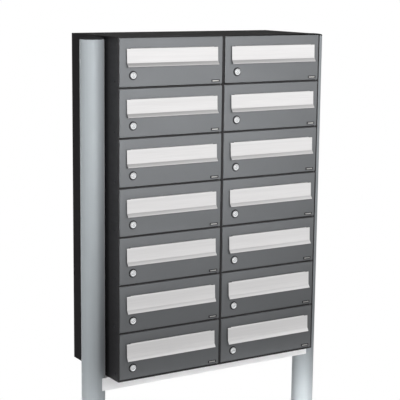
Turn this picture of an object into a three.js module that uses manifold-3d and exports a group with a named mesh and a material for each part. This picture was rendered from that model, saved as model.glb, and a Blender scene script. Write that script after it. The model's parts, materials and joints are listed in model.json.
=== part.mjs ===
// Cluster mailbox unit: two sheet-steel columns of seven letterboxes, carried between two round
// posts and by a crossbar under them. Every box has a side-hung door with a cam lock, and a
// top-hung flap in front of the letter slot.
// Millimetres, +X to the right seen from the front, +Y to the back, +Z up. The origin is on the
// ground, in the middle of the unit's width and depth.
import * as THREE from 'three';
import { mergeVertices } from 'three/addons/utils/BufferGeometryUtils.js';
import Module from 'manifold-3d';

const wasm = await Module();
wasm.setup();

// ---- Driving dimensions ----------------------------------------------------------------------

const clearance = 0.3; // between parts that touch, or run in each other

// Columns and rows
const columnNames = ['left', 'right'];
const rowCount = 7;
const rowPitch = 155;
const doorWidth = 372;
const rowGap = 6; // between one door and the next below it
const sideMargin = 4.5; // from a door's edge to the outer face of its case
const caseDepth = 318;
const caseFoot = 3; // what the case's floor adds below the last row
const caseBottom = 550; // height of the case's floor above the ground

// Case sheet metal
const caseSheet = 1.2;
const hemThickness = 3.2; // folded front edges of walls and shelves
const hemDepth = 12;
const hemSetBack = 0.8; // from the doors' front plane to the hems
const backSheet = 1.2;
const backInset = 1; // from the walls' rear edges to the back panel
const backLip = 8; // inward flanges that the back panel is screwed to

// Doors
const doorSheet = 1.5;
const doorDepth = 16;
const doorEdgeRadius = 2;

// Hinge rods, one through all the doors of a column
const rodRadius = 2;
const knuckleWall = 1.6; // round the rod's bore
const knuckleLength = 25;
const rodSeat = 1.5; // depth of the blind hole in the case's floor hem

// Letter slot and flap
const flapSideMargin = 22; // from a door's side edges to the flap's ends
const slotSideMargin = 11; // from the flap's ends to the slot's ends
const slotHeight = 32;
const slotBelowAxis = 10; // from the flap's axis down to the slot's upper edge
const flapSheet = 1.2;
const flapAxisDrop = 36; // from the row's upper edge to the flap's axis
const flapAxisProud = 3.6; // from the door's front to the flap's axis
const flapFaceProud = 2.8; // from the axis to the middle of the flap's sheet
const flapTopRise = 1.8; // of the sheet above the axis
const flapBendDrop = 43; // from the axis down to the bend of the finger lip
const flapBendProud = 4.4;
const flapLipDrop = 54.5;
const flapLipProud = 12.6;
const curlRadius = 2.6; // rolled edge that turns on the door's two pins
const curlInset = 14; // from the flap's ends to the ends of its rolled edge
const flapPinRadius = 1.3;
const flapPinLength = 9;
const flapEarWidth = 2.5;
const flapEarRim = 0.2; // of the ear above and below its pin

// Cam locks
const lockInset = 46.6; // from the door's left edge
const lockRise = 38; // above the row's lower edge
const lockHeadRadius = 10.6;
const lockHeadProud = 4.6;
const lockHeadRound = 1.1;
const lockShankRadius = 8;
const lockBossRadius = 11.5;
const lockBossDepth = 18;
const keySlotWidth = 1.6;
const keySlotHeight = 9;
const keySlotDepth = 3.5;
const camWidth = 13;
const camThickness = 2;
const camReach = 32; // from the lock's axis to the cam's tip, which stays below the letter slot
const camHold = 4.9; // of the cam behind its strike tab
const strikeHeight = 26; // strike tab on the case's left wall
const strikeThickness = 2;

// Posts, caps, crossbar and bolts
const poleRadius = 38;
const poleWall = 3;
const poleSetBack = 100; // from the doors' front plane to the posts' axes
const poleTopDrop = 10; // from the case's roof down to the posts' upper ends
const baseSize = 240;
const baseThickness = 10;
const baseCornerRadius = 14;
const anchorSpacing = 180;
const anchorHoleRadius = 7;
const capPlugDepth = 14;
const capRim = 2.4;
const capRise = 7.5;
const barDepth = 72;
const barHeight = 42;
const barWall = 3;
const boltRadius = 4;
const boltHeadRadius = 7.5;
const boltHeadHeight = 5.3;
const boltLength = 26;
const poleBoltRows = { upper: 1, lower: 5 }; // rows, counted from 0, that the post bolts are in

// Sides of the round shapes
const poleSides = 32;
const lockSides = 16;
const hingeSides = 8;
const pinSides = 8;
const boltSides = 8;

// ---- Worked-out dimensions -------------------------------------------------------------------

const caseWidth = doorWidth + 2 * sideMargin;
const caseHeight = rowCount * rowPitch + caseFoot;
const caseTop = caseBottom + caseHeight;
const columnPitch = caseWidth + clearance;
const doorHeight = rowPitch - rowGap;
const flapWidth = doorWidth - 2 * flapSideMargin;
const slotWidth = flapWidth - 2 * slotSideMargin;
const flapProud = flapAxisProud + flapLipProud + flapSheet / 2;
const frontReach = Math.max(flapProud, baseSize / 2 - poleSetBack);
const frontY = -(caseDepth - frontReach) / 2;
const shelfEnd = caseDepth - backInset - backSheet - clearance;
const boreRadius = rodRadius + clearance;
const knuckleRadius = boreRadius + knuckleWall;
const rodInset = knuckleRadius + clearance; // from a door's right edge and its front to the rod's axis
const rodX = doorWidth - rodInset;
const camY = Math.max(lockBossDepth, doorDepth + clearance + strikeThickness) + 3;
const strikeY = camY - strikeThickness - 2 * clearance;
const strikeWidth = sideMargin + lockInset - camReach + camHold;
const outerHalfWidth = ((columnNames.length - 1) * columnPitch + caseWidth) / 2;
const poleX = outerHalfWidth + clearance + poleRadius;
const poleY = frontY + poleSetBack;
const poleTop = caseTop - poleTopDrop;
const barTop = caseBottom - clearance;
const barBoltX = columnPitch / 2;

// ---- Materials -------------------------------------------------------------------------------

const paint = (color, roughness) => new THREE.MeshStandardMaterial({ color, roughness, metalness: 0.1 });
const metal = (color, roughness) => new THREE.MeshStandardMaterial({ color, roughness, metalness: 0.9 });

const casePaint = () => paint(0x26252a, 0.5);
const doorPaint = () => paint(0x5d6063, 0.45);
const flapSteel = () => metal(0xdedcdc, 0.35);
const lockChrome = () => metal(0xe4e5e6, 0.2);
const poleAluminium = () => metal(0xb7bfc3, 0.4);
const barPaint = () => paint(0xcfcfd2, 0.5);
const capPlastic = () => paint(0x1c1c1e, 0.6);
const zincSteel = () => metal(0x9a9c9e, 0.4);

// ---- Shapes ----------------------------------------------------------------------------------

// A box between two corners.
function block(x0, x1, y0, y1, z0, z1) {
  const geometry = new THREE.BoxGeometry(x1 - x0, y1 - y0, z1 - z0);
  return geometry.translate((x0 + x1) / 2, (y0 + y1) / 2, (z0 + z1) / 2);
}

// Round bars along each axis, from one end to the other.
function roundAlongZ(radius, x, y, z0, z1, sides) {
  const geometry = new THREE.CylinderGeometry(radius, radius, z1 - z0, sides);
  return geometry.rotateX(Math.PI / 2).translate(x, y, (z0 + z1) / 2);
}

function roundAlongY(radius, x, z, y0, y1, sides) {
  const geometry = new THREE.CylinderGeometry(radius, radius, y1 - y0, sides);
  return geometry.translate(x, (y0 + y1) / 2, z);
}

function roundAlongX(radius, y, z, x0, x1, sides) {
  const geometry = new THREE.CylinderGeometry(radius, radius, x1 - x0, sides);
  return geometry.rotateZ(Math.PI / 2).translate((x0 + x1) / 2, y, z);
}

// A rectangle standing in XZ and pushed along +Y from y = 0, its front edges rounded.
function roundedFrontPlate(width, depth, height, radius) {
  const outline = new THREE.Shape();
  outline.moveTo(radius, radius);
  outline.lineTo(width - radius, radius);
  outline.lineTo(width - radius, height - radius);
  outline.lineTo(radius, height - radius);
  outline.closePath();
  const settings = {
    depth: depth,
    bevelEnabled: true,
    bevelThickness: radius,
    bevelSize: radius,
    bevelSegments: 2,
  };
  const plate = new THREE.ExtrudeGeometry(outline, settings);
  plate.rotateX(Math.PI / 2).translate(0, depth + radius, 0);
  return subtract(plate, [block(-1, width + 1, depth, depth + 3 * radius, -1, height + 1)]);
}

// ---- Joining and cutting ---------------------------------------------------------------------

function toSolid(geometry) {
  const bare = geometry.clone();
  bare.deleteAttribute('normal');
  bare.deleteAttribute('uv');
  const merged = mergeVertices(bare, 1e-4);
  const vertProperties = new Float32Array(merged.attributes.position.array);
  const triVerts = new Uint32Array(merged.index.array);
  return new wasm.Manifold(new wasm.Mesh({ numProp: 3, vertProperties, triVerts }));
}

function toGeometry(solid) {
  const mesh = solid.getMesh();
  const geometry = new THREE.BufferGeometry();
  geometry.setAttribute('position', new THREE.BufferAttribute(new Float32Array(mesh.vertProperties), 3));
  geometry.setIndex(new THREE.BufferAttribute(new Uint32Array(mesh.triVerts), 1));
  geometry.computeVertexNormals();
  return geometry;
}

function join(base, others) {
  return toGeometry(others.reduce((solid, other) => solid.add(toSolid(other)), toSolid(base)));
}

function subtract(base, others) {
  return toGeometry(others.reduce((solid, other) => solid.subtract(toSolid(other)), toSolid(base)));
}

// ---- Case: outer wrap, shelves, strike tabs --------------------------------------------------

// Local frame: x from the outer left face, y from the doors' front plane, z from the floor.
function caseGeometry(outerSide) {
  const rowTop = (row) => caseHeight - row * rowPitch;
  const floorHem = caseFoot + hemThickness / 2;
  const plates = [
    block(0, caseSheet, hemSetBack, caseDepth, 0, caseHeight),
    block(0, hemThickness, hemSetBack, hemDepth, 0, caseHeight),
    block(caseWidth - caseSheet, caseWidth, hemSetBack, caseDepth, 0, caseHeight),
    block(caseWidth - hemThickness, caseWidth, hemSetBack, hemDepth, 0, caseHeight),
    block(0, caseWidth, hemSetBack, caseDepth, caseHeight - caseSheet, caseHeight),
    block(0, caseWidth, hemSetBack, hemDepth, caseHeight - hemThickness / 2, caseHeight),
    block(0, caseWidth, hemSetBack, hemDepth, 0, floorHem),
    block(0, backLip, shelfEnd - caseSheet, shelfEnd, 0, caseHeight),
    block(caseWidth - backLip, caseWidth, shelfEnd - caseSheet, shelfEnd, 0, caseHeight),
  ];
  for (let row = 1; row < rowCount; row += 1) {
    const z = rowTop(row);
    plates.push(block(0, caseWidth, hemSetBack, shelfEnd, z - caseSheet / 2, z + caseSheet / 2));
    plates.push(block(0, caseWidth, hemSetBack, hemDepth, z - hemThickness / 2, z + hemThickness / 2));
  }
  for (let row = 0; row < rowCount; row += 1) {
    const z = rowTop(row + 1) + lockRise;
    plates.push(block(0, strikeWidth, strikeY, strikeY + strikeThickness,
      z - strikeHeight / 2, z + strikeHeight / 2));
  }
  const floor = block(0, caseWidth, hemSetBack, caseDepth, 0, caseSheet);

  const holes = [roundAlongZ(boreRadius, sideMargin + rodX, rodInset,
    floorHem - rodSeat, caseHeight - hemThickness / 2 - clearance, hingeSides)];
  const boltHole = boltRadius + clearance;
  const wallX = outerSide < 0 ? 0 : caseWidth;
  for (const row of Object.values(poleBoltRows)) {
    const z = rowTop(row) - rowPitch / 2;
    holes.push(roundAlongX(boltHole, poleSetBack, z, wallX - 2 * caseSheet, wallX + 2 * caseSheet, boltSides));
  }
  holes.push(roundAlongZ(boltHole, caseWidth / 2, poleSetBack, -1, 2 * caseSheet, boltSides));
  return subtract(join(floor, plates), holes);
}

function backPanelGeometry() {
  const side = caseSheet + clearance;
  return block(side, caseWidth - side, shelfEnd + clearance, caseDepth - backInset,
    side, caseHeight - side);
}

// Local frame: as the case.
function hingeRodGeometry() {
  const low = caseFoot + hemThickness / 2 - rodSeat + clearance;
  const high = caseHeight - hemThickness / 2 - 2 * clearance;
  return roundAlongZ(rodRadius, sideMargin + rodX, rodInset, low, high, hingeSides);
}

// ---- Door ------------------------------------------------------------------------------------

// Local frame: x from the door's left edge, y from its front, z from its lower edge.
const lockZ = lockRise - rowGap / 2;
const flapAxisZ = doorHeight + rowGap / 2 - flapAxisDrop;

function doorGeometry() {
  const pan = subtract(roundedFrontPlate(doorWidth, doorDepth, doorHeight, doorEdgeRadius), [
    block(doorSheet, doorWidth - doorSheet, doorSheet, doorDepth + 1, doorSheet, doorHeight - doorSheet),
  ]);
  const fittings = [
    roundAlongY(lockBossRadius, lockInset, lockZ, doorSheet / 2, lockBossDepth, lockSides),
    roundAlongZ(knuckleRadius, rodX, rodInset, doorSheet / 2, knuckleLength, hingeSides),
    roundAlongZ(knuckleRadius, rodX, rodInset, doorHeight - knuckleLength, doorHeight - doorSheet / 2, hingeSides),
  ];
  const slotTop = flapAxisZ - slotBelowAxis;
  const slotLeft = (doorWidth - slotWidth) / 2;
  const holes = [
    block(slotLeft, slotLeft + slotWidth, -1, doorSheet + 1, slotTop - slotHeight, slotTop),
    roundAlongY(lockShankRadius + clearance, lockInset, lockZ, -1, lockBossDepth + 1, lockSides),
    roundAlongZ(boreRadius, rodX, rodInset, -1, doorHeight + 1, hingeSides),
  ];
  const body = subtract(join(pan, fittings), holes);
  return join(body, [-1, 1].flatMap((side) => flapCarrier(side)));
}

// An ear on the door's face, hidden behind the flap, with the pin that the flap turns on.
function flapCarrier(side) {
  const earInner = flapWidth / 2 - curlInset + clearance;
  const earMiddle = doorWidth / 2 + side * (earInner + flapEarWidth / 2);
  const pinMiddle = doorWidth / 2 + side * (earInner + flapEarWidth - flapPinLength / 2);
  const earLeft = earMiddle - flapEarWidth / 2;
  const earFront = -flapAxisProud - flapPinRadius;
  const earHalf = flapPinRadius + flapEarRim;
  return [
    block(earLeft, earLeft + flapEarWidth, earFront, doorSheet / 2, flapAxisZ - earHalf, flapAxisZ + earHalf),
    roundAlongX(flapPinRadius, -flapAxisProud, flapAxisZ,
      pinMiddle - flapPinLength / 2, pinMiddle + flapPinLength / 2, pinSides),
  ];
}

// ---- Flap ------------------------------------------------------------------------------------

// A closed outline around an open line of points, half the sheet's thickness to each side.
function sheetOutline(points, thickness) {
  const offset = (index, side) => {
    const before = points[Math.max(index - 1, 0)];
    const after = points[Math.min(index + 1, points.length - 1)];
    const along = after.clone().sub(before).normalize();
    const across = new THREE.Vector2(-along.y, along.x).multiplyScalar(side * thickness / 2);
    return points[index].clone().add(across);
  };
  const there = points.map((point, index) => offset(index, 1));
  const back = points.map((point, index) => offset(index, -1)).reverse();
  return new THREE.Shape([...there, ...back]);
}

// Local frame: x from the middle of the flap, y and z from its axis.
function flapGeometry() {
  const face = new THREE.QuadraticBezierCurve(
    new THREE.Vector2(-flapFaceProud, flapTopRise),
    new THREE.Vector2(-flapFaceProud, -flapBendDrop * 0.6),
    new THREE.Vector2(-flapBendProud, -flapBendDrop),
  ).getPoints(4);
  const profile = sheetOutline([...face, new THREE.Vector2(-flapLipProud, -flapLipDrop)], flapSheet);
  const sheet = new THREE.ExtrudeGeometry(profile, { depth: flapWidth, bevelEnabled: false });
  const axes = [new THREE.Vector3(0, 1, 0), new THREE.Vector3(0, 0, 1), new THREE.Vector3(1, 0, 0)];
  sheet.applyMatrix4(new THREE.Matrix4().makeBasis(...axes)).translate(-flapWidth / 2, 0, 0);
  const curlHalf = flapWidth / 2 - curlInset;
  const curl = roundAlongX(curlRadius, 0, 0, -curlHalf, curlHalf, pinSides);
  const pinDepth = flapPinLength - flapEarWidth + 2 * clearance;
  const bores = [-1, 1].map((side) => {
    const mouth = side * (curlHalf + 1);
    const end = side * (curlHalf - pinDepth);
    return roundAlongX(flapPinRadius + clearance, 0, 0, Math.min(mouth, end), Math.max(mouth, end), pinSides);
  });
  return subtract(join(sheet, [curl]), bores);
}

// ---- Lock: plug and cam, turning in the door's boss ------------------------------------------

// Local frame: y from the door's front, x and z from the lock's axis.
function lockGeometry() {
  const front = -lockHeadProud;
  const profile = [
    new THREE.Vector2(0, front),
    new THREE.Vector2(lockHeadRadius - lockHeadRound, front),
    new THREE.Vector2(lockHeadRadius, front + lockHeadRound),
    new THREE.Vector2(lockHeadRadius, -clearance),
    new THREE.Vector2(lockShankRadius, -clearance),
    new THREE.Vector2(lockShankRadius, camY + camThickness),
    new THREE.Vector2(0, camY + camThickness),
  ];
  const plug = new THREE.LatheGeometry(profile, lockSides);
  const cam = block(-camWidth / 2, camWidth / 2, camY, camY + camThickness, -lockShankRadius, camReach);
  const keySlot = block(-keySlotWidth / 2, keySlotWidth / 2, front - 1, front + keySlotDepth,
    -keySlotHeight / 2, keySlotHeight / 2);
  return subtract(join(plug, [cam]), [keySlot]);
}

// ---- Posts, caps, crossbar, bolts ------------------------------------------------------------

// A post with its welded base plate. Local frame: on the post's axis, z from the ground.
function poleGeometry(caseSide) {
  const half = baseSize / 2;
  const outline = new THREE.Shape();
  const corner = half - baseCornerRadius;
  outline.absarc(corner, corner, baseCornerRadius, 0, Math.PI / 2);
  outline.absarc(-corner, corner, baseCornerRadius, Math.PI / 2, Math.PI);
  outline.absarc(-corner, -corner, baseCornerRadius, Math.PI, Math.PI * 1.5);
  outline.absarc(corner, -corner, baseCornerRadius, Math.PI * 1.5, Math.PI * 2);
  const settings = { depth: baseThickness, bevelEnabled: false, curveSegments: 4 };
  const base = new THREE.ExtrudeGeometry(outline, settings);
  const tube = roundAlongZ(poleRadius, 0, 0, baseThickness / 2, poleTop, poleSides);
  const holes = [roundAlongZ(poleRadius - poleWall, 0, 0, baseThickness, poleTop + 1, poleSides)];
  for (const x of [-1, 1]) {
    for (const y of [-1, 1]) {
      const offset = anchorSpacing / 2;
      holes.push(roundAlongZ(anchorHoleRadius, x * offset, y * offset, -1, baseThickness + 1, boltSides));
    }
  }
  for (const row of Object.values(poleBoltRows)) {
    const z = caseTop - row * rowPitch - rowPitch / 2;
    const inner = caseSide * (poleRadius - 3 * poleWall);
    const outer = caseSide * (poleRadius + 1);
    holes.push(roundAlongX(boltRadius + clearance, 0, z, Math.min(inner, outer), Math.max(inner, outer), boltSides));
  }
  return subtract(join(base, [tube]), holes);
}

// Local frame: on the post's axis, z from the post's upper end.
function capGeometry() {
  const plugRadius = poleRadius - poleWall - clearance;
  const profile = [
    new THREE.Vector2(0, -capPlugDepth),
    new THREE.Vector2(plugRadius, -capPlugDepth),
    new THREE.Vector2(plugRadius, clearance),
    new THREE.Vector2(poleRadius, clearance),
  ];
  const dome = new THREE.EllipseCurve(0, capRim, poleRadius, capRise - capRim, 0, Math.PI / 2);
  profile.push(...dome.getPoints(3));
  profile[profile.length - 1].x = 0;
  return new THREE.LatheGeometry(profile, poleSides).rotateX(Math.PI / 2);
}

// A box-section bar whose ends are coped round the posts.
function crossbarGeometry() {
  const y0 = poleY - barDepth / 2;
  const y1 = poleY + barDepth / 2;
  const z0 = barTop - barHeight;
  const bar = block(-poleX, poleX, y0, y1, z0, barTop);
  const hollow = block(-poleX - 1, poleX + 1, y0 + barWall, y1 - barWall, z0 + barWall, barTop - barWall);
  const holes = [-1, 1].flatMap((side) => [
    roundAlongZ(poleRadius + clearance, side * poleX, poleY, z0 - 1, barTop + 1, poleSides),
    roundAlongZ(boltRadius + clearance, side * barBoltX, poleY, barTop - 2 * barWall, barTop + 1, boltSides),
  ]);
  return subtract(bar, [hollow, ...holes]);
}

// A hexagon bolt along +Z: its head stands on z = 0, its shank goes down.
function boltGeometry() {
  const head = roundAlongZ(boltHeadRadius, 0, 0, 0, boltHeadHeight, 6);
  return join(head, [roundAlongZ(boltRadius, 0, 0, -boltLength, boltHeadHeight / 2, boltSides)]);
}

// ---- Assembly --------------------------------------------------------------------------------

const unit = new THREE.Group();

function place(parent, name, geometry, material, x, y, z) {
  const mesh = new THREE.Mesh(geometry, material);
  mesh.name = name;
  mesh.position.set(x, y, z);
  parent.add(mesh);
  return mesh;
}

const door = doorGeometry();
const flap = flapGeometry();
const lock = lockGeometry();

columnNames.forEach((columnName, column) => {
  const columnGroup = new THREE.Group();
  const outerSide = column === 0 ? -1 : 1;
  const columnX = (column - (columnNames.length - 1) / 2) * columnPitch - caseWidth / 2;
  columnGroup.position.set(columnX, frontY, caseBottom);
  place(columnGroup, `case_${columnName}`, caseGeometry(outerSide), casePaint(), 0, 0, 0);
  place(columnGroup, `back_panel_${columnName}`, backPanelGeometry(), casePaint(), 0, 0, 0);
  place(columnGroup, `hinge_rod_${columnName}`, hingeRodGeometry(), zincSteel(), 0, 0, 0);
  for (let row = 0; row < rowCount; row += 1) {
    const label = `${columnName}_${row + 1}`;
    const rowGroup = new THREE.Group();
    rowGroup.position.set(sideMargin, 0, caseHeight - (row + 1) * rowPitch + rowGap / 2);
    place(rowGroup, `door_${label}`, door, doorPaint(), 0, 0, 0);
    place(rowGroup, `flap_${label}`, flap, flapSteel(), doorWidth / 2, -flapAxisProud, flapAxisZ);
    place(rowGroup, `lock_${label}`, lock, lockChrome(), lockInset, 0, lockZ);
    columnGroup.add(rowGroup);
  }
  unit.add(columnGroup);
});

[-1, 1].forEach((side, index) => {
  const name = columnNames[index];
  place(unit, `pole_${name}`, poleGeometry(-side), poleAluminium(), side * poleX, poleY, 0);
  place(unit, `pole_cap_${name}`, capGeometry(), capPlastic(), side * poleX, poleY, poleTop);
  for (const [level, row] of Object.entries(poleBoltRows)) {
    const x = side * (outerHalfWidth - caseSheet - clearance);
    const z = caseTop - row * rowPitch - rowPitch / 2;
    const bolt = place(unit, `pole_bolt_${name}_${level}`, boltGeometry(), zincSteel(), x, poleY, z);
    bolt.rotation.y = -side * Math.PI / 2;
  }
  const floorTop = caseBottom + caseSheet + clearance;
  place(unit, `crossbar_bolt_${name}`, boltGeometry(), zincSteel(), side * barBoltX, poleY, floorTop);
});
place(unit, 'crossbar', crossbarGeometry(), barPaint(), 0, 0, 0);

export default unit;
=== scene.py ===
"""Cluster mailbox unit: finishes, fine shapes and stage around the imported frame.

Lengths are in metres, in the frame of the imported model: +X to the right seen from the front,
+Y to the back, +Z up, the ground at z = 0.
"""
import json
import math

import bmesh
import bpy
from bpy.props import FloatProperty, FloatVectorProperty, PointerProperty
from mathutils import Matrix, Vector


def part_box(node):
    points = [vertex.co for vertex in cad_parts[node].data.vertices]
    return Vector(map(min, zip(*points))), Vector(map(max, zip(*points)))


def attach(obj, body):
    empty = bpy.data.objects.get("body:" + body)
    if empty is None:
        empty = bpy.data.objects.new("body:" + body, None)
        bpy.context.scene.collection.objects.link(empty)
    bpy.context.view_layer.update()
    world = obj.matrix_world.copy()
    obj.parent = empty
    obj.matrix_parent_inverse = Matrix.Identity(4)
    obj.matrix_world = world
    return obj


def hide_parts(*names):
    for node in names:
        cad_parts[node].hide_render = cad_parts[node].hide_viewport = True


bl_info = {
    "name": "Cluster Mailbox Unit",
    "version": (1, 0, 0),
    "blender": (4, 5, 0),
    "location": "View3D > Sidebar > Mailbox",
    "description": "Builds the fine shapes, finishes and stage of a cluster mailbox unit",
    "category": "Object",
}

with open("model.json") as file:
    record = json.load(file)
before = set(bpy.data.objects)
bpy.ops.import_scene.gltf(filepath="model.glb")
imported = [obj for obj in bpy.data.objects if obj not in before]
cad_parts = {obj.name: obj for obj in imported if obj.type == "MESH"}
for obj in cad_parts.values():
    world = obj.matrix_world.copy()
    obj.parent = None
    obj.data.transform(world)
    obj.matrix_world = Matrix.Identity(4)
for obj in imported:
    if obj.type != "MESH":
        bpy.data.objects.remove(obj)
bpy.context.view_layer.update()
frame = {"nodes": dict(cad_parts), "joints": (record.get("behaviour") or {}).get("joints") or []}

COLUMNS = ("left", "right")
ROWS = range(1, 8)
LABELS = [f"{column}_{row}" for column in COLUMNS for row in ROWS]
HOUSING = "housing"

UPWARD = Vector((0.0, 0.0, 1.0))
FORWARD = Vector((0.0, -1.0, 0.0))
MERGE_DISTANCE = 0.000005
LOCK_STEPS = 40
SCREW_STEPS = 18
POST_STEPS = 96
DUST_COLOUR = (0.42, 0.41, 0.40, 1.0)
BACKDROP_WHITE = 1.0
AMBIENT = 0.22
FLOOR_REACH = 60.0


# ---- Settings --------------------------------------------------------------------------------

def length(name, description, default):
    return FloatProperty(name=name, description=description, default=default, unit="LENGTH",
                         precision=4)


def angle(name, description, degrees):
    return FloatProperty(name=name, description=description, default=math.radians(degrees),
                         unit="ROTATION")


def colour(name, description, default):
    return FloatVectorProperty(name=name, description=description, default=default, size=3,
                               subtype="COLOR", min=0.0, max=1.0)


class MailboxColours(bpy.types.PropertyGroup):
    door: colour("Door paint", "Powder coat of the doors", (0.175, 0.182, 0.190))
    case: colour("Housing paint", "Powder coat of the cases", (0.014, 0.013, 0.014))
    steel: colour("Flap steel", "Brushed stainless steel of the flaps", (0.80, 0.79, 0.79))
    nickel: colour("Lock nickel", "Plating of the locks", (0.84, 0.85, 0.86))
    post: colour("Post aluminium", "Anodised tube of the posts", (0.38, 0.41, 0.43))
    bar: colour("Crossbar paint", "Light powder coat of the crossbar", (0.93, 0.93, 0.94))
    zinc: colour("Zinc", "Plating of the bolts and hinge rods", (0.46, 0.47, 0.48))
    # On the lock rings this black also paints the shade that lies round each lock head.
    plastic: colour("Black plastic", "Post caps, lock rings, screws and name plate holders",
                    (0.016, 0.016, 0.018))
    card: colour("Name card", "Paper behind the name plates", (0.62, 0.62, 0.60))


class MailboxSizes(bpy.types.PropertyGroup):
    flap_sheet: length("Flap sheet", "Thickness of the flaps' sheet", 0.0012)
    flap_proud: length("Flap face", "From a flap's axis to the middle of its sheet", 0.0028)
    flap_bend_drop: length("Flap bend drop", "From the axis down to the bend of the finger lip", 0.043)
    flap_bend_proud: length("Flap bend", "From the axis forward to the bend of the finger lip", 0.0044)
    flap_lip: length("Finger lip", "Length of the lip below the bend", 0.0115)
    lip_slope: angle("Lip slope", "Direction of the lip, seen from the flap's left end", -125)
    flap_edge: length("Flap edge", "Radius of the flap's cut edges", 0.0003)
    flap_notch: length("Flap notch", "From a flap's end to the end of its rolled edge", 0.014)
    curl_radius: length("Rolled edge", "Radius of the rolled edge's mid-line", 0.0022)
    lock_head: length("Lock head", "Radius of a lock's head", 0.0106)
    lock_proud: length("Lock height", "How far a lock's head stands off its door", 0.0046)
    lock_shank: length("Lock shank", "Radius of a lock's plug behind the door", 0.008)
    keyway_height: length("Keyway height", "Length of the keyway", 0.0086)
    keyway_width: length("Keyway width", "Width of the keyway", 0.0034)
    keyway_depth: length("Keyway depth", "Depth of the keyway", 0.0035)
    cam_thickness: length("Cam", "Thickness of a lock's cam", 0.002)
    sheet_edge: length("Sheet edge", "Radius of the edges of the cases and doors", 0.0004)
    ring_radius: length("Lock ring", "Outer radius of the ring round a lock", 0.0142)
    ring_proud: length("Ring height", "How far a lock's ring stands off its door", 0.0013)
    plate_width: length("Plate width", "Width of a name plate", 0.031)
    plate_height: length("Plate height", "Height of a name plate", 0.0085)
    plate_proud: length("Plate height off door", "How far a name plate stands off its door", 0.0012)
    plate_side: length("Plate side margin", "From a door's right edge to its name plate", 0.0105)
    plate_rise: length("Plate rise", "From a door's lower edge to its name plate", 0.005)
    screw_radius: length("Screw radius", "Radius of a coupling screw's head", 0.0042)
    screw_back: length("Screw set-back", "From the doors' front to the coupling screws", 0.024)
    screw_rise: length("Screw rise", "From a door's lower edge to its coupling screw", 0.017)
    weld_radius: length("Weld bead", "Leg of the weld bead at a post's foot", 0.005)
    post_wall: length("Post wall", "Wall of the posts' tube", 0.003)
    base_thickness: length("Base plate", "Thickness of the base plates", 0.010)
    base_corner: length("Base plate corner", "Radius of a base plate's corners", 0.014)
    bar_edge: length("Crossbar edge", "Radius of the crossbar's edges", 0.0015)
    anchor_spread: length("Anchor spacing", "Between neighbouring anchor holes", 0.180)
    anchor_radius: length("Anchor hole", "Radius of the anchor holes", 0.007)


class MailboxCamera(bpy.types.PropertyGroup):
    azimuth: angle("Azimuth", "Camera direction, 0 in front of the doors", -31.95)
    elevation: angle("Elevation", "Camera direction above the horizon", 10.09)
    roll: angle("Roll", "Turn of the camera about its view", 0.61)
    distance: length("Distance", "From the camera to the point it aims at", 3.9765)
    aim_x: length("Aim X", "Aim point from the unit's middle", -0.087)
    aim_height: length("Aim height", "Aim point above the ground", 1.1147)
    lens: FloatProperty(name="Focal length", description="Lens in millimetres", default=111.4)


def colours():
    return bpy.context.scene.mailbox_colours


def sizes():
    return bpy.context.scene.mailbox_sizes


# ---- Shader node helpers ---------------------------------------------------------------------

def add_node(tree, kind, **values):
    node = tree.nodes.new(kind)
    for key, value in values.items():
        setattr(node, key, value)
    return node


def feed(tree, value, socket):
    """Links another node's value to a socket, or sets a plain one on it."""
    if hasattr(value, "type"):
        tree.links.new(value, socket)
    else:
        socket.default_value = value


def object_coordinates(tree, scale=(1.0, 1.0, 1.0)):
    coordinates = add_node(tree, "ShaderNodeTexCoord")
    mapping = add_node(tree, "ShaderNodeMapping")
    mapping.inputs["Scale"].default_value = scale
    tree.links.new(coordinates.outputs["Object"], mapping.inputs["Vector"])
    return mapping.outputs["Vector"]


def noise(tree, vector, scale, detail=2.0, roughness=0.5):
    node = add_node(tree, "ShaderNodeTexNoise")
    node.inputs["Scale"].default_value = scale
    node.inputs["Detail"].default_value = detail
    node.inputs["Roughness"].default_value = roughness
    tree.links.new(vector, node.inputs["Vector"])
    return node.outputs["Fac"]


def map_range(tree, value, low, high, to_low, to_high):
    node = add_node(tree, "ShaderNodeMapRange")
    tree.links.new(value, node.inputs["Value"])
    names = ("From Min", "From Max", "To Min", "To Max")
    for name, number in zip(names, (low, high, to_low, to_high)):
        feed(tree, number, node.inputs[name])
    return node.outputs["Result"]


def math_node(tree, operation, first, second):
    node = add_node(tree, "ShaderNodeMath", operation=operation)
    for socket, value in zip(node.inputs, (first, second)):
        feed(tree, value, socket)
    return node.outputs["Value"]


def mix_colour(tree, mask, first, second):
    """Mixes two colours; the Mix node keeps its factor at 0 and its colours at 6, 7 and output 2."""
    node = add_node(tree, "ShaderNodeMix", data_type="RGBA")
    for index, value in ((0, mask), (6, first), (7, second)):
        feed(tree, value, node.inputs[index])
    return node.outputs[2]


def bump(tree, height, strength, distance):
    node = add_node(tree, "ShaderNodeBump")
    node.inputs["Strength"].default_value = strength
    node.inputs["Distance"].default_value = distance
    tree.links.new(height, node.inputs["Height"])
    return node.outputs["Normal"]


def scaled_colour(tree, colour_value, amount):
    node = add_node(tree, "ShaderNodeVectorMath", operation="SCALE")
    tree.links.new(colour_value, node.inputs[0])
    tree.links.new(amount, node.inputs["Scale"])
    return node.outputs["Vector"]


SURFACE_OUTPUTS = (
    ("Colour", "NodeSocketColor"),
    ("Roughness", "NodeSocketFloat"),
    ("Height", "NodeSocketFloat"),
)


def new_group(name, inputs, outputs):
    group = bpy.data.node_groups.new(name, "ShaderNodeTree")
    for socket_name, socket_type, default in inputs:
        socket = group.interface.new_socket(socket_name, in_out="INPUT", socket_type=socket_type)
        socket.default_value = default
    for socket_name, socket_type in outputs:
        group.interface.new_socket(socket_name, in_out="OUTPUT", socket_type=socket_type)
    return group, add_node(group, "NodeGroupInput"), add_node(group, "NodeGroupOutput")


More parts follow.
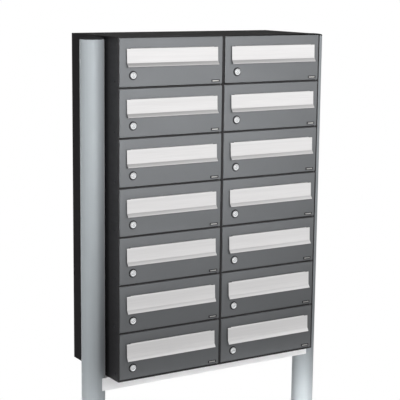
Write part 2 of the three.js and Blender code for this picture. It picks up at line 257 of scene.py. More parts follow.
def powder_coat_group():
    """Orange peel, speckle and faint handling marks of a baked powder coat."""
    inputs = [
        ("Colour", "NodeSocketColor", (0.2, 0.2, 0.2, 1.0)),
        ("Roughness", "NodeSocketFloat", 0.4),
        ("Speckle", "NodeSocketFloat", 0.1),
    ]
    group, inside, outside = new_group("Powder coat", inputs, SURFACE_OUTPUTS)
    vector = object_coordinates(group)
    peel = noise(group, vector, 420.0, 2.0)
    grain = noise(group, vector, 1500.0, 1.0)
    cloud = noise(group, vector, 6.0, 3.0, 0.6)
    smear = noise(group, object_coordinates(group, (4.0, 4.0, 18.0)), 3.0, 4.0, 0.65)

    shade = map_range(group, grain, 0.3, 0.7, -1.0, 1.0)
    shade = math_node(group, "MULTIPLY", shade, inside.outputs["Speckle"])
    shade = math_node(group, "ADD", shade, map_range(group, cloud, 0.3, 0.7, 0.965, 1.035))
    group.links.new(scaled_colour(group, inside.outputs["Colour"], shade), outside.inputs["Colour"])

    rough = math_node(group, "ADD", inside.outputs["Roughness"],
                      map_range(group, smear, 0.3, 0.7, -0.05, 0.05))
    group.links.new(rough, outside.inputs["Roughness"])
    height = math_node(group, "ADD", peel, math_node(group, "MULTIPLY", grain, 0.35))
    group.links.new(height, outside.inputs["Height"])
    return group


def brushed_group():
    """Long fine lines of a brushed or drawn metal, run by the stretch of the coordinates."""
    inputs = [
        ("Vector", "NodeSocketVector", (0.0, 0.0, 0.0)),
        ("Colour", "NodeSocketColor", (0.8, 0.8, 0.8, 1.0)),
        ("Roughness", "NodeSocketFloat", 0.3),
        ("Contrast", "NodeSocketFloat", 0.06),
    ]
    group, inside, outside = new_group("Brushed metal", inputs, SURFACE_OUTPUTS)
    vector = inside.outputs["Vector"]
    fine = noise(group, vector, 900.0, 3.0, 0.6)
    broad = noise(group, vector, 130.0, 2.0, 0.5)
    lines = math_node(group, "ADD", math_node(group, "MULTIPLY", fine, 0.65),
                      math_node(group, "MULTIPLY", broad, 0.35))
    signed = map_range(group, lines, 0.3, 0.7, -1.0, 1.0)
    shade = math_node(group, "ADD", math_node(group, "MULTIPLY", signed, inside.outputs["Contrast"]), 1.0)
    group.links.new(scaled_colour(group, inside.outputs["Colour"], shade), outside.inputs["Colour"])
    rough = math_node(group, "SUBTRACT", inside.outputs["Roughness"],
                      math_node(group, "MULTIPLY", signed, 0.05))
    group.links.new(rough, outside.inputs["Roughness"])
    group.links.new(lines, outside.inputs["Height"])
    return group


def dust_group():
    """A mask of dust that settles on faces looking up, broken up by a noise."""
    group, inside, outside = new_group("Settled dust", [("Amount", "NodeSocketFloat", 0.2)],
                                       [("Mask", "NodeSocketFloat")])
    normal = add_node(group, "ShaderNodeNewGeometry")
    parts = add_node(group, "ShaderNodeSeparateXYZ")
    group.links.new(normal.outputs["Normal"], parts.inputs["Vector"])
    upward = map_range(group, parts.outputs["Z"], 0.4, 1.0, 0.0, 1.0)
    patches = map_range(group, noise(group, object_coordinates(group), 22.0, 5.0, 0.65),
                        0.35, 0.75, 0.25, 1.0)
    mask = math_node(group, "MULTIPLY", upward, patches)
    group.links.new(math_node(group, "MULTIPLY", mask, inside.outputs["Amount"]), outside.inputs["Mask"])
    return group


def group_node(tree, group, **values):
    node = add_node(tree, "ShaderNodeGroup", node_tree=group)
    for key, value in values.items():
        node.inputs[key].default_value = value
    return node


def new_material(name):
    material = bpy.data.materials.new(name)
    material.use_nodes = True
    tree = material.node_tree
    return material, tree, tree.nodes["Principled BSDF"]


# ---- Materials -------------------------------------------------------------------------------

def shared_group(name, build):
    return bpy.data.node_groups.get(name) or build()


def powder_coat(name, tint, roughness, speckle, relief, dust_amount):
    """Baked powder coat on steel, with a little dust on what looks up."""
    if name in bpy.data.materials:
        return bpy.data.materials[name]
    material, tree, shader = new_material(name)
    coat = group_node(tree, shared_group("Powder coat", powder_coat_group),
                      Colour=(*tint, 1.0), Roughness=roughness, Speckle=speckle)
    dust = group_node(tree, shared_group("Settled dust", dust_group), Amount=dust_amount)
    dusty = mix_colour(tree, dust.outputs["Mask"], coat.outputs["Colour"], DUST_COLOUR)
    tree.links.new(dusty, shader.inputs["Base Color"])
    tree.links.new(coat.outputs["Roughness"], shader.inputs["Roughness"])
    tree.links.new(bump(tree, coat.outputs["Height"], relief, 0.0002), shader.inputs["Normal"])
    return material


def brushed_metal(name, tint, roughness, contrast, stretch, relief, anisotropy=0.0):
    """Bare metal with fine lines along the axis that stretch leaves nearly unscaled."""
    if name in bpy.data.materials:
        return bpy.data.materials[name]
    material, tree, shader = new_material(name)
    brush = group_node(tree, shared_group("Brushed metal", brushed_group),
                       Colour=(*tint, 1.0), Roughness=roughness, Contrast=contrast)
    tree.links.new(object_coordinates(tree, stretch), brush.inputs["Vector"])
    tree.links.new(brush.outputs["Colour"], shader.inputs["Base Color"])
    tree.links.new(brush.outputs["Roughness"], shader.inputs["Roughness"])
    tree.links.new(bump(tree, brush.outputs["Height"], relief, 0.00008), shader.inputs["Normal"])
    shader.inputs["Metallic"].default_value = 1.0
    shader.inputs["Anisotropic"].default_value = anisotropy
    return material


def moulded_plastic(name, tint, roughness):
    """Fine-textured moulded plastic."""
    if name in bpy.data.materials:
        return bpy.data.materials[name]
    material, tree, shader = new_material(name)
    vector = object_coordinates(tree)
    grain = noise(tree, vector, 1300.0, 2.0)
    tint_noise = noise(tree, vector, 35.0, 3.0)
    lighter = tuple(min(1.0, channel * 1.35 + 0.004) for channel in tint)
    mottled = mix_colour(tree, tint_noise, (*tint, 1.0), (*lighter, 1.0))
    tree.links.new(mottled, shader.inputs["Base Color"])
    tree.links.new(map_range(tree, grain, 0.3, 0.7, roughness - 0.06, roughness + 0.06),
                   shader.inputs["Roughness"])
    tree.links.new(bump(tree, grain, 0.25, 0.0001), shader.inputs["Normal"])
    return material


def paper_card(name, tint):
    """Uncoated card with visible fibre."""
    if name in bpy.data.materials:
        return bpy.data.materials[name]
    material, tree, shader = new_material(name)
    fibre = noise(tree, object_coordinates(tree, (1.0, 1.0, 2.5)), 900.0, 3.0, 0.7)
    darker = tuple(channel * 0.86 for channel in tint)
    tree.links.new(mix_colour(tree, fibre, (*darker, 1.0), (*tint, 1.0)), shader.inputs["Base Color"])
    shader.inputs["Roughness"].default_value = 0.8
    tree.links.new(bump(tree, fibre, 0.2, 0.00005), shader.inputs["Normal"])
    return material


def door_paint():
    return powder_coat("Door paint", tuple(colours().door), roughness=0.42, speckle=0.05,
                       relief=0.10, dust_amount=0.05)


def case_paint():
    return powder_coat("Housing paint", tuple(colours().case), roughness=0.42, speckle=0.08,
                       relief=0.12, dust_amount=0.10)


def bar_paint():
    return powder_coat("Crossbar paint", tuple(colours().bar), roughness=0.45, speckle=0.04,
                       relief=0.10, dust_amount=0.05)


def flap_steel():
    return brushed_metal("Flap steel", tuple(colours().steel), roughness=0.34, contrast=0.05,
                         stretch=(0.012, 1.0, 1.0), relief=0.10, anisotropy=0.4)


def lock_nickel():
    return brushed_metal("Lock nickel", tuple(colours().nickel), roughness=0.26, contrast=0.04,
                         stretch=(0.25, 1.0, 1.0), relief=0.06)


def post_aluminium():
    """Drawn tube under a matt anodised layer, which lightens it towards its edges."""
    material = brushed_metal("Post aluminium", tuple(colours().post), roughness=0.50, contrast=0.03,
                             stretch=(1.0, 1.0, 0.012), relief=0.06)
    shader = material.node_tree.nodes["Principled BSDF"]
    shader.inputs["Metallic"].default_value = 0.25
    shader.inputs["Sheen Weight"].default_value = 1.0
    shader.inputs["Sheen Roughness"].default_value = 0.30
    return material


def zinc_steel():
    return brushed_metal("Zinc plated steel", tuple(colours().zinc), roughness=0.36, contrast=0.08,
                         stretch=(1.0, 1.0, 1.0), relief=0.10)


def card_paper():
    return paper_card("Card", tuple(colours().card))


def black_plastic():
    return moulded_plastic("Black plastic", tuple(colours().plastic), roughness=0.5)


# ---- Mesh helpers ----------------------------------------------------------------------------

def finish_piece(name, mesh_data, material, body, sharp=32):
    """Makes an object of a finished bmesh, with its material and its body."""
    mesh = bpy.data.meshes.new(name)
    mesh_data.to_mesh(mesh)
    mesh_data.free()
    for polygon in mesh.polygons:
        polygon.use_smooth = True
    mesh.set_sharp_from_angle(angle=math.radians(sharp))
    mesh.materials.append(material)
    piece = bpy.data.objects.new(name, mesh)
    bpy.context.scene.collection.objects.link(piece)
    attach(piece, body)
    return piece


def thicken(piece, thickness, offset):
    """Gives a sheet its wall; offset 0 puts it on both sides of the mid-line."""
    wall = piece.modifiers.new("Wall", "SOLIDIFY")
    wall.thickness = thickness
    wall.offset = offset
    wall.use_even_offset = True


def round_edges(piece, radius, angle_limit=32):
    bevel = piece.modifiers.new("Edges", "BEVEL")
    bevel.width = radius
    bevel.segments = 2
    bevel.limit_method = "ANGLE"
    bevel.angle_limit = math.radians(angle_limit)
    bevel.harden_normals = True


def joint_place(name):
    """A point on a joint's axis, in metres."""
    for joint in frame["joints"]:
        if joint["name"] == name:
            return Vector(joint["pos_m"])
    raise RuntimeError(f"no joint is named {name}")


def merged_copy(node):
    """A bmesh of a CAD node's solid with its triangles joined into flat faces."""
    mesh_data = bmesh.new()
    mesh_data.from_mesh(frame["nodes"][node].data)
    bmesh.ops.remove_doubles(mesh_data, verts=mesh_data.verts, dist=0.00001)
    bmesh.ops.dissolve_limit(mesh_data, angle_limit=math.radians(1.0),
                             verts=mesh_data.verts, edges=mesh_data.edges)
    return mesh_data


def soften(node, piece_name, material, body, edge_radius):
    """Stands a CAD node's own shape in for it, with its sharp edges rounded."""
    piece = finish_piece(piece_name, merged_copy(node), material, body)
    round_edges(piece, edge_radius)
    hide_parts(node)


def paint_node(node, material):
    """Gives a CAD node that stays its finished material."""
    for slot in frame["nodes"][node].material_slots:
        slot.material = material


def lathe(mesh_data, outline, centre, axis, steps):
    """Spins an outline of (radius, along) points round an axis through centre, a full turn."""
    side = Vector((1.0, 0.0, 0.0)) if abs(axis.x) < 0.9 else Vector((0.0, 0.0, 1.0))
    verts = [mesh_data.verts.new(centre + side * radius + axis * along) for radius, along in outline]
    edges = [mesh_data.edges.new(pair) for pair in zip(verts, verts[1:])]
    bmesh.ops.spin(mesh_data, geom=verts + edges, cent=centre, axis=axis, dvec=(0.0, 0.0, 0.0),
                   angle=math.tau, steps=steps, use_merge=True, use_duplicate=False)


def close_mesh(mesh_data):
    bmesh.ops.remove_doubles(mesh_data, verts=mesh_data.verts, dist=MERGE_DISTANCE)
    bmesh.ops.recalc_face_normals(mesh_data, faces=mesh_data.faces)


def turned(outline, centre, axis, steps):
    """A closed solid of revolution."""
    mesh_data = bmesh.new()
    lathe(mesh_data, outline, centre, axis, steps)
    close_mesh(mesh_data)
    return mesh_data


def new_verts(geometry):
    return [item for item in geometry if isinstance(item, bmesh.types.BMVert)]


def rounded_box(mesh_data, low, high, radius, segments=2):
    """A box between two corners with all its edges rounded."""
    made = bmesh.ops.create_cube(mesh_data, size=1.0)
    size = Vector(high) - Vector(low)
    bmesh.ops.scale(mesh_data, vec=size, verts=made["verts"])
    bmesh.ops.translate(mesh_data, vec=(Vector(low) + Vector(high)) / 2, verts=made["verts"])
    edges = dict.fromkeys(edge for vert in made["verts"] for edge in vert.link_edges)
    bmesh.ops.bevel(mesh_data, geom=list(edges), offset=radius, segments=segments, profile=0.5,
                    affect="EDGES", material=-1)


def arc(centre, radius, start, end, steps):
    """Points of an arc in a plane, its angles in degrees."""
    turn = [math.radians(start + (end - start) * step / steps) for step in range(steps + 1)]
    return [(centre[0] + radius * math.cos(t), centre[1] + radius * math.sin(t)) for t in turn]


# ---- Operators: the pieces -------------------------------------------------------------------

class MAILBOX_OT_cases(bpy.types.Operator):
    """Finish the two cases, their back panels and hinge rods"""
    bl_idname = "mailbox.cases"
    bl_label = "Cases"

    def execute(self, context):
        for column in COLUMNS:
            soften(f"case_{column}", f"case_shell_{column}", case_paint(), HOUSING,
                   sizes().sheet_edge)
            paint_node(f"back_panel_{column}", case_paint())
            paint_node(f"hinge_rod_{column}", zinc_steel())
        return {"FINISHED"}


class MAILBOX_OT_doors(bpy.types.Operator):
    """Round the folded edges of every door"""
    bl_idname = "mailbox.doors"
    bl_label = "Doors"

    def execute(self, context):
        for label in LABELS:
            soften(f"door_{label}", f"door_panel_{label}", door_paint(), f"door_{label}",
                   sizes().sheet_edge)
        return {"FINISHED"}


class MAILBOX_OT_flaps(bpy.types.Operator):
    """Fold every flap from brushed sheet"""
    bl_idname = "mailbox.flaps"
    bl_label = "Flaps"

    def execute(self, context):
        for label in LABELS:
            low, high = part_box(f"flap_{label}")
            pivot = joint_place(f"flap_{label}_hinge")
            strip = self.folded_strip(low.x, high.x, pivot)
            sheet = finish_piece(f"flap_sheet_{label}", strip, flap_steel(), f"flap_{label}",
                                 sharp=12)
            thicken(sheet, sizes().flap_sheet, 0.0)
            round_edges(sheet, sizes().flap_edge, 40)
            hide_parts(f"flap_{label}")
        return {"FINISHED"}

    def profile(self):
        """Mid-line of the sheet as (y, z) points from the flap's axis: rolled edge, face, lip, hem."""
        size = sizes()
        roll_centre = (size.curl_radius - size.flap_proud, 0.0)
        points = arc(roll_centre, size.curl_radius, -110, 180, 14)
        points += self.crowned_face()
        lip = Vector((math.cos(size.lip_slope), math.sin(size.lip_slope)))
        hem_radius = 0.9 * size.flap_sheet
        hem_centre = Vector(points[-1]) + lip * size.flap_lip + Vector((-lip.y, lip.x)) * hem_radius
        first = math.degrees(size.lip_slope) - 90
        points += arc(hem_centre, hem_radius, first, first + 170, 8)
        return points

    def crowned_face(self):
        """The face's slight curve from its top, where the rolled edge ends, down to the bend."""
        size = sizes()
        top = Vector((-size.flap_proud, 0.0))
        middle = Vector((-0.7 * size.flap_proud - 0.3 * size.flap_bend_proud, -0.5 * size.flap_bend_drop))
        bend = Vector((-size.flap_bend_proud, -size.flap_bend_drop))
        steps = 8
        points = []
        for step in range(1, steps + 1):
            t = step / steps
            points.append(tuple(top * (1 - t) ** 2 + middle * 2 * t * (1 - t) + bend * t * t))
        return points

    def folded_strip(self, left, right, pivot):
        mesh_data = bmesh.new()
        verts = [mesh_data.verts.new((left, pivot.y + y, pivot.z + z)) for y, z in self.profile()]
        edges = [mesh_data.edges.new(pair) for pair in zip(verts, verts[1:])]
        pulled = bmesh.ops.extrude_edge_only(mesh_data, edges=edges)["geom"]
        bmesh.ops.translate(mesh_data, vec=(right - left, 0.0, 0.0), verts=new_verts(pulled))
        curl_left = left + sizes().flap_notch
        curl_right = right - sizes().flap_notch
        for x in (curl_left, curl_right):
            everything = mesh_data.verts[:] + mesh_data.edges[:] + mesh_data.faces[:]
            bmesh.ops.bisect_plane(mesh_data, geom=everything, plane_co=(x, 0.0, 0.0),
                                   plane_no=(1.0, 0.0, 0.0))
        spare = [face for face in mesh_data.faces if self.in_notch(face, curl_left, curl_right, pivot)]
        bmesh.ops.delete(mesh_data, geom=spare, context="FACES")
        bmesh.ops.recalc_face_normals(mesh_data, faces=mesh_data.faces)
        return mesh_data

    def in_notch(self, face, left, right, pivot):
        """Whether a face is a part of the rolled edge that the pins' notches cut away."""
        size = sizes()
        centre = face.calc_center_median()
        beyond = centre.x < left or centre.x > right
        behind_face = centre.y > pivot.y - 0.9 * size.flap_proud
        return beyond and behind_face and centre.z > pivot.z - 2 * size.curl_radius


class MAILBOX_OT_locks(bpy.types.Operator):
    """Turn every lock's plug and cam, and the ring round it"""
    bl_idname = "mailbox.locks"
    bl_label = "Locks"

    def execute(self, context):
        for label in LABELS:
            pivot = joint_place(f"lock_{label}_turn")
            plug = finish_piece(f"lock_plug_{label}", self.plug(pivot, f"lock_{label}"), lock_nickel(),
                                f"lock_{label}", sharp=40)
            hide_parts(f"lock_{label}")
            # Each lock's ring is a raised plastic piece; its black colour also paints the shade that lies
            # round the lock head.
            finish_piece(f"lock_ring_{label}", self.ring(pivot), black_plastic(), f"door_{label}",
                         sharp=40)
        return {"FINISHED"}

    def plug(self, pivot, node):
        """The plug's face has a core set a little back inside a grooved, rounded head."""
        size = sizes()
        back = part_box(node)[1].y - pivot.y
        face = size.lock_proud
        core = 0.58 * size.lock_head
        core_drop = 0.0009
        groove = 0.0006
        groove_depth = 0.0018
        chamfer = 0.0004
        rim = 0.0012
        outline = [
            (core - groove, face - core_drop),
            (core, face - core_drop - chamfer),
            (core, face - groove_depth),
            (core + groove, face - groove_depth),
            (core + groove, face - chamfer),
            (core + 2 * groove, face),
        ]
        outline += arc((size.lock_head - rim, face - rim), rim, 90, 0, 5)
        outline += [
            (size.lock_head, chamfer),
            (size.lock_shank, chamfer),
            (size.lock_shank, groove - back),
            (0.9 * size.lock_shank, -back),
            (0.0, -back),
        ]
        mesh_data = bmesh.new()
        lathe(mesh_data, outline, pivot, FORWARD, LOCK_STEPS)
        bmesh.ops.remove_doubles(mesh_data, verts=mesh_data.verts, dist=MERGE_DISTANCE)
        self.keyway(mesh_data, pivot, core - groove)
        bmesh.ops.recalc_face_normals(mesh_data, faces=mesh_data.faces)
        self.cam(mesh_data, pivot, node)
        return mesh_data

    def keyway(self, mesh_data, pivot, radius):
        """Closes the plug's face with a sunk slot for the key."""
        size = sizes()
        rim = [edge for edge in mesh_data.edges if edge.is_boundary]
        slot = self.pull(mesh_data, rim)
        narrowing = (size.keyway_width / 2 / radius, 1.0, size.keyway_height / 2 / radius)
        bmesh.ops.scale(mesh_data, vec=narrowing, space=Matrix.Translation(-pivot), verts=slot["verts"])
        floor = self.pull(mesh_data, slot["edges"])
        bmesh.ops.translate(mesh_data, vec=(0.0, size.keyway_depth, 0.0), verts=floor["verts"])
        bmesh.ops.contextual_create(mesh_data, geom=floor["edges"])

    def pull(self, mesh_data, edges):
        made = bmesh.ops.extrude_edge_only(mesh_data, edges=edges)["geom"]
        return {
            "verts": new_verts(made),
            "edges": [item for item in made if isinstance(item, bmesh.types.BMEdge)],
        }

    def cam(self, mesh_data, pivot, node):
        """The cam stands up from the plug's back end to the top of the lock's box."""
        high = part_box(node)[1]
        half_width = 0.61 * sizes().lock_head
        front = high.y - sizes().cam_thickness
        rounded_box(mesh_data, (pivot.x - half_width, front, pivot.z - 0.9 * half_width),
                    (pivot.x + half_width, high.y, high.z), 0.0004)

    # The ring's shape is real; the dark plastic it is given also paints the shade round the lock head.
    def ring(self, pivot):
        size = sizes()
        gap = 0.0003
        edge = 0.0005
        inner = size.lock_head + gap
        outline = [(inner, 0.0), (inner, size.ring_proud - edge), (inner + edge, size.ring_proud)]
        outline += arc((size.ring_radius - edge, size.ring_proud - edge), edge, 90, 0, 3)
        outline += [(size.ring_radius, 0.0), (inner, 0.0)]
        return turned(outline, pivot, FORWARD, LOCK_STEPS)


class MAILBOX_OT_name_plates(bpy.types.Operator):
    """Fix a name plate with a blank card on every door"""
    bl_idname = "mailbox.name_plates"
    bl_label = "Name plates"

    def execute(self, context):
        size = sizes()
        for label in LABELS:
            low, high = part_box(f"door_{label}")
            front = joint_place(f"lock_{label}_turn").y
            right = high.x - size.plate_side
            left = right - size.plate_width
            bottom = low.z + size.plate_rise
            top = bottom + size.plate_height
            proud = front - size.plate_proud
            holder = bmesh.new()
            rounded_box(holder, (left, proud, bottom), (right, front, top), 0.0005)
            finish_piece(f"plate_holder_{label}", holder, black_plastic(), f"door_{label}")
            border_x = 0.13 * size.plate_width
            border_z = 0.30 * size.plate_height
            card_proud = 0.0002
            card = bmesh.new()
            rounded_box(card, (left + border_x, proud - card_proud, bottom + border_z),
                        (right - border_x, front - 0.5 * size.plate_proud, top - border_z), 0.0001, 1)
            finish_piece(f"plate_card_{label}", card, card_paper(), f"door_{label}")
        return {"FINISHED"}


class MAILBOX_OT_coupling_screws(bpy.types.Operator):
    """Set a coupling screw in the outer walls beside every door"""
    bl_idname = "mailbox.coupling_screws"
    bl_label = "Coupling screws"

    def execute(self, context):
        size = sizes()
        for label in LABELS:
            column = label.split("_")[0]
            low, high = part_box(f"case_{column}")
            outward = -1.0 if column == "left" else 1.0
            wall = low.x if column == "left" else high.x
            door_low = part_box(f"door_{label}")[0]
            front = joint_place(f"lock_{label}_turn").y
            place = Vector((wall, front + size.screw_back, door_low.z + size.screw_rise))
            finish_piece(f"coupling_screw_{label}", self.head(place, Vector((outward, 0.0, 0.0))),
                         black_plastic(), HOUSING, sharp=40)
        return {"FINISHED"}

    def head(self, place, axis):
        """A low round head with a sunk socket."""
        radius = sizes().screw_radius
        height = 0.4 * radius
        socket = 0.42 * radius
        outline = [(0.0, 0.2 * height), (socket, 0.2 * height), (socket, height)]
        outline += arc((radius - 0.7 * height, 0.3 * height), 0.7 * height, 90, 0, 4)
        outline += [(radius, 0.0), (0.0, 0.0)]
        return turned(outline, place, axis, SCREW_STEPS)


class MAILBOX_OT_posts(bpy.types.Operator):
    """Draw the posts with their base plates and weld beads, and finish the crossbar and bolts"""
    bl_idname = "mailbox.posts"
    bl_label = "Posts and crossbar"

    def execute(self, context):
        for column in COLUMNS:
            cap_low, cap_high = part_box(f"pole_cap_{column}")
            low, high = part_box(f"pole_{column}")
            middle = (cap_low + cap_high) / 2
            centre = Vector((middle.x, middle.y, 0.0))
            radius = (cap_high.x - cap_low.x) / 2
            post = finish_piece(f"post_{column}", self.post(centre, radius, low, high), post_aluminium(),
                                HOUSING, sharp=40)
            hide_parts(f"pole_{column}")
            dome = self.cap(centre, radius, high.z, cap_low.z, cap_high.z)
            cap = finish_piece(f"post_cap_{column}", dome, black_plastic(), HOUSING,
                               sharp=40)
            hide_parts(f"pole_cap_{column}")
            finish_piece(f"weld_bead_{column}", self.weld(centre, radius), post_aluminium(), HOUSING,
                         sharp=60)
            paint_node(f"crossbar_bolt_{column}", zinc_steel())
            for level in ("upper", "lower"):
                paint_node(f"pole_bolt_{column}_{level}", zinc_steel())
        soften("crossbar", "crossbar_box", bar_paint(), HOUSING, sizes().bar_edge)
        return {"FINISHED"}

    def post(self, centre, radius, low, high):
        """A tube that starts just inside the base plate it is welded to."""
        size = sizes()
        mesh_data = bmesh.new()
        self.base_plate(mesh_data, centre, (high.x - low.x) / 2)
        foot = 0.95 * size.base_thickness
        chamfer = 0.0005
        outline = [
            (radius, foot),
            (radius, high.z - chamfer),
            (radius - chamfer, high.z),
            (radius - size.post_wall, high.z),
            (radius - size.post_wall, foot),
            (radius, foot),
        ]
        lathe(mesh_data, outline, centre, UPWARD, POST_STEPS)
        close_mesh(mesh_data)
        return mesh_data

    def base_plate(self, mesh_data, centre, half):
        """A square plate with rounded corners and four anchor holes, standing on the ground."""
        size = sizes()
        inner = half - size.base_corner
        corners = ((inner, inner), (-inner, inner), (-inner, -inner), (inner, -inner))
        outline = []
        for turn, place in enumerate(corners):
            outline += arc(place, size.base_corner, 90 * turn, 90 * turn + 90, 7)
        loops = [outline]
        spread = size.anchor_spread / 2
        for x in (-spread, spread):
            for y in (-spread, spread):
                loops.append(arc((x, y), size.anchor_radius, 0, 345, 24))
        edges = []
        for loop in loops:
            verts = [mesh_data.verts.new((centre.x + x, centre.y + y, 0.0)) for x, y in loop]
            edges += [mesh_data.edges.new(pair) for pair in zip(verts, verts[1:] + verts[:1])]
        filled = bmesh.ops.triangle_fill(mesh_data, edges=edges, use_beauty=True)["geom"]
        sheet = [item for item in filled if isinstance(item, bmesh.types.BMFace)]
        raised = bmesh.ops.extrude_face_region(mesh_data, geom=sheet, use_keep_orig=True)["geom"]
        bmesh.ops.translate(mesh_data, vec=UPWARD * size.base_thickness, verts=new_verts(raised))
        bmesh.ops.recalc_face_normals(mesh_data, faces=mesh_data.faces)

    def cap(self, centre, radius, post_top, low, high):
        """A plug in the tube's end under a low dome with a straight rim."""
        rim = 0.0024
        gap = 0.0003
        plug = radius - sizes().post_wall - gap
        outline = [
            (0.0, low),
            (plug, low),
            (plug, post_top + gap),
            (radius, post_top + gap),
            (radius, post_top + rim),
        ]
        rise = high - post_top - rim
        steps = 12
        for step in range(1, steps + 1):
            turn = math.pi / 2 * step / steps
            reach = radius * math.cos(turn) if step < steps else 0.0
            outline.append((reach, post_top + rim + rise * math.sin(turn)))
        return turned(outline, centre, UPWARD, POST_STEPS)

    def weld(self, centre, radius):
        """A hollow fillet between the tube and its base plate, sunk a little into both."""
        leg = sizes().weld_radius
        top = sizes().base_thickness
        sink = 0.0005
        outline = [(radius - sink, top - sink), (radius - sink, top + leg)]
        outline += arc((radius + leg * 1.05, top + leg * 1.05), leg, 180, 270, 5)
        outline += [(radius + leg, top - sink), (radius - sink, top - sink)]
        return turned(outline, centre, UPWARD, POST_STEPS)


# ---- Operator: stage -------------------------------------------------------------------------

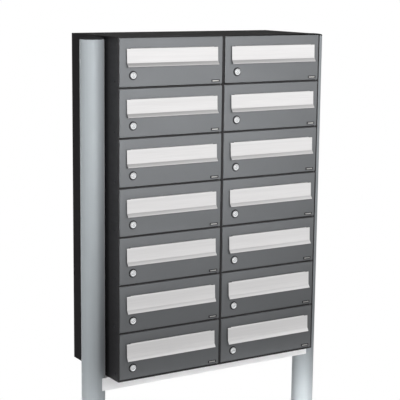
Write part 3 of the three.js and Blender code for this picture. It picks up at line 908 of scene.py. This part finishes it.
class MAILBOX_OT_stage(bpy.types.Operator):
    """Lay the floor, hang the lights and set up the camera"""
    bl_idname = "mailbox.stage"
    bl_label = "Floor, lights and camera"

    def execute(self, context):
        self.floor(context)
        self.lights(context)
        self.camera(context)
        context.scene.view_settings.view_transform = "Standard"
        return {"FINISHED"}

    def floor(self, context):
        """A white floor; what metal mirrors of it is duller close to the unit than far away."""
        mesh_data = bmesh.new()
        bmesh.ops.create_grid(mesh_data, x_segments=1, y_segments=1, size=FLOOR_REACH)
        mesh = bpy.data.meshes.new("floor")
        mesh_data.to_mesh(mesh)
        mesh_data.free()
        material, tree, shader = new_material("Studio floor")
        tree.nodes.remove(shader)
        light = self.light_mix(tree, self.floor_mirrored(tree))
        glow = add_node(tree, "ShaderNodeEmission")
        tree.links.new(light, glow.inputs["Strength"])
        tree.links.new(glow.outputs["Emission"], tree.nodes["Material Output"].inputs["Surface"])
        mesh.materials.append(material)
        floor = bpy.data.objects.new("floor", mesh)
        context.scene.collection.objects.link(floor)

    def floor_mirrored(self, tree):
        """Duller within a few metres of the unit, and dark behind its front."""
        place = add_node(tree, "ShaderNodeNewGeometry")
        distance = add_node(tree, "ShaderNodeVectorMath", operation="LENGTH")
        tree.links.new(place.outputs["Position"], distance.inputs[0])
        near = map_range(tree, distance.outputs["Value"], 1.5, 9.0, 0.52, 1.0)
        parts = add_node(tree, "ShaderNodeSeparateXYZ")
        tree.links.new(place.outputs["Position"], parts.inputs["Vector"])
        front = map_range(tree, parts.outputs["Y"], -0.3, 0.3, 1.0, 0.05)
        return math_node(tree, "MULTIPLY", near, front)

    def light_mix(self, tree, mirrored):
        """White as a backdrop, a given light in mirrors, and a soft ambient light on matt surfaces."""
        path = add_node(tree, "ShaderNodeLightPath")
        value = map_range(tree, path.outputs["Is Glossy Ray"], 0.0, 1.0, AMBIENT, mirrored)
        return map_range(tree, path.outputs["Is Camera Ray"], 0.0, 1.0, value, BACKDROP_WHITE)

    def lights(self, context):
        world = bpy.data.worlds.new("Studio")
        world.use_nodes = True
        tree = world.node_tree
        background = tree.nodes["Background"]
        background.inputs["Color"].default_value = (1.0, 1.0, 1.0, 1.0)
        light = self.light_mix(tree, self.sky_mirrored(tree))
        tree.links.new(light, background.inputs["Strength"])
        context.scene.world = world
        self.area(context, "Key softbox", place=(-0.6, -2.6, 1.80), aim=(-0.1, -0.15, 1.54),
                  width=1.4, height=0.5, watts=6.4, spread=48)
        self.area(context, "Low softbox", place=(-0.7, -2.3, 0.18), aim=(0.0, -0.1, 0.22),
                  width=1.8, height=0.3, watts=5.6, spread=16)
        self.area(context, "Side softbox", place=(-3.2, -0.40, 0.4), aim=(-0.4, -0.05, 0.4),
                  width=0.8, height=1.6, watts=54.0)
        self.area(context, "Rim softbox", place=(-2.6, 1.6, 0.7), aim=(-0.42, -0.05, 0.6),
                  width=0.8, height=2.4, watts=36.0)
        self.area(context, "Rear softbox", place=(1.2, 3.4, 2.1), aim=(0.0, 0.1, 1.1),
                  width=2.4, height=2.4, watts=90.0)

    def sky_mirrored(self, tree):
        """Bright in front of the unit up to half height, dark overhead and behind."""
        coordinates = add_node(tree, "ShaderNodeTexCoord")
        parts = add_node(tree, "ShaderNodeSeparateXYZ")
        tree.links.new(coordinates.outputs["Generated"], parts.inputs["Vector"])
        front = map_range(tree, parts.outputs["Y"], -0.05, 0.3, 1.28, 0.10)
        up = map_range(tree, parts.outputs["Z"], 0.40, 0.85, 1.0, 0.15)
        return math_node(tree, "MULTIPLY", front, up)

    def area(self, context, name, place, aim, width, height, watts, spread=180):
        """A softbox that lights the unit but isn't mirrored in it."""
        light = bpy.data.lights.new(name, "AREA")
        light.shape = "RECTANGLE"
        light.size = width
        light.size_y = height
        light.energy = watts
        light.spread = math.radians(spread)
        lamp = bpy.data.objects.new(name, light)
        direction = Vector(aim) - Vector(place)
        lamp.location = place
        lamp.rotation_euler = direction.to_track_quat("-Z", "Y").to_euler()
        lamp.visible_glossy = False
        context.scene.collection.objects.link(lamp)

    def camera(self, context):
        settings = context.scene.mailbox_camera
        data = bpy.data.cameras.new("Camera")
        data.lens = settings.lens
        camera = bpy.data.objects.new("Camera", data)
        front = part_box("door_left_1")[0][1]
        aim = Vector((settings.aim_x, front, settings.aim_height))
        azimuth, elevation = settings.azimuth, settings.elevation
        back = Vector((math.sin(azimuth) * math.cos(elevation),
                       -math.cos(azimuth) * math.cos(elevation),
                       math.sin(elevation)))
        right = Vector((math.cos(azimuth), math.sin(azimuth), 0.0))
        up = back.cross(right)
        turn = Matrix((right, up, back)).transposed().to_4x4()
        roll = Matrix.Rotation(settings.roll, 4, "Z")
        camera.matrix_world = Matrix.Translation(aim + back * settings.distance) @ turn @ roll
        context.scene.collection.objects.link(camera)
        context.scene.camera = camera


# ---- Panel, registration, run ----------------------------------------------------------------

PIECES = (
    MAILBOX_OT_stage,
    MAILBOX_OT_cases,
    MAILBOX_OT_doors,
    MAILBOX_OT_flaps,
    MAILBOX_OT_locks,
    MAILBOX_OT_name_plates,
    MAILBOX_OT_coupling_screws,
    MAILBOX_OT_posts,
)


class MAILBOX_PT_unit(bpy.types.Panel):
    """Lists the pieces of the mailbox unit"""
    bl_idname = "MAILBOX_PT_unit"
    bl_label = "Mailbox unit"
    bl_space_type = "VIEW_3D"
    bl_region_type = "UI"
    bl_category = "Mailbox"

    def draw(self, context):
        for piece in PIECES:
            self.layout.operator(piece.bl_idname)


CLASSES = (MailboxColours, MailboxSizes, MailboxCamera, *PIECES, MAILBOX_PT_unit)


def register():
    for cls in CLASSES:
        bpy.utils.register_class(cls)
    bpy.types.Scene.mailbox_colours = PointerProperty(type=MailboxColours)
    bpy.types.Scene.mailbox_sizes = PointerProperty(type=MailboxSizes)
    bpy.types.Scene.mailbox_camera = PointerProperty(type=MailboxCamera)


def unregister():
    for name in ("mailbox_colours", "mailbox_sizes", "mailbox_camera"):
        delattr(bpy.types.Scene, name)
    for cls in reversed(CLASSES):
        bpy.utils.unregister_class(cls)


def main():
    register()
    for piece in PIECES:
        group, name = piece.bl_idname.split(".")
        getattr(getattr(bpy.ops, group), name)()


if __name__ == "__main__":
    main()
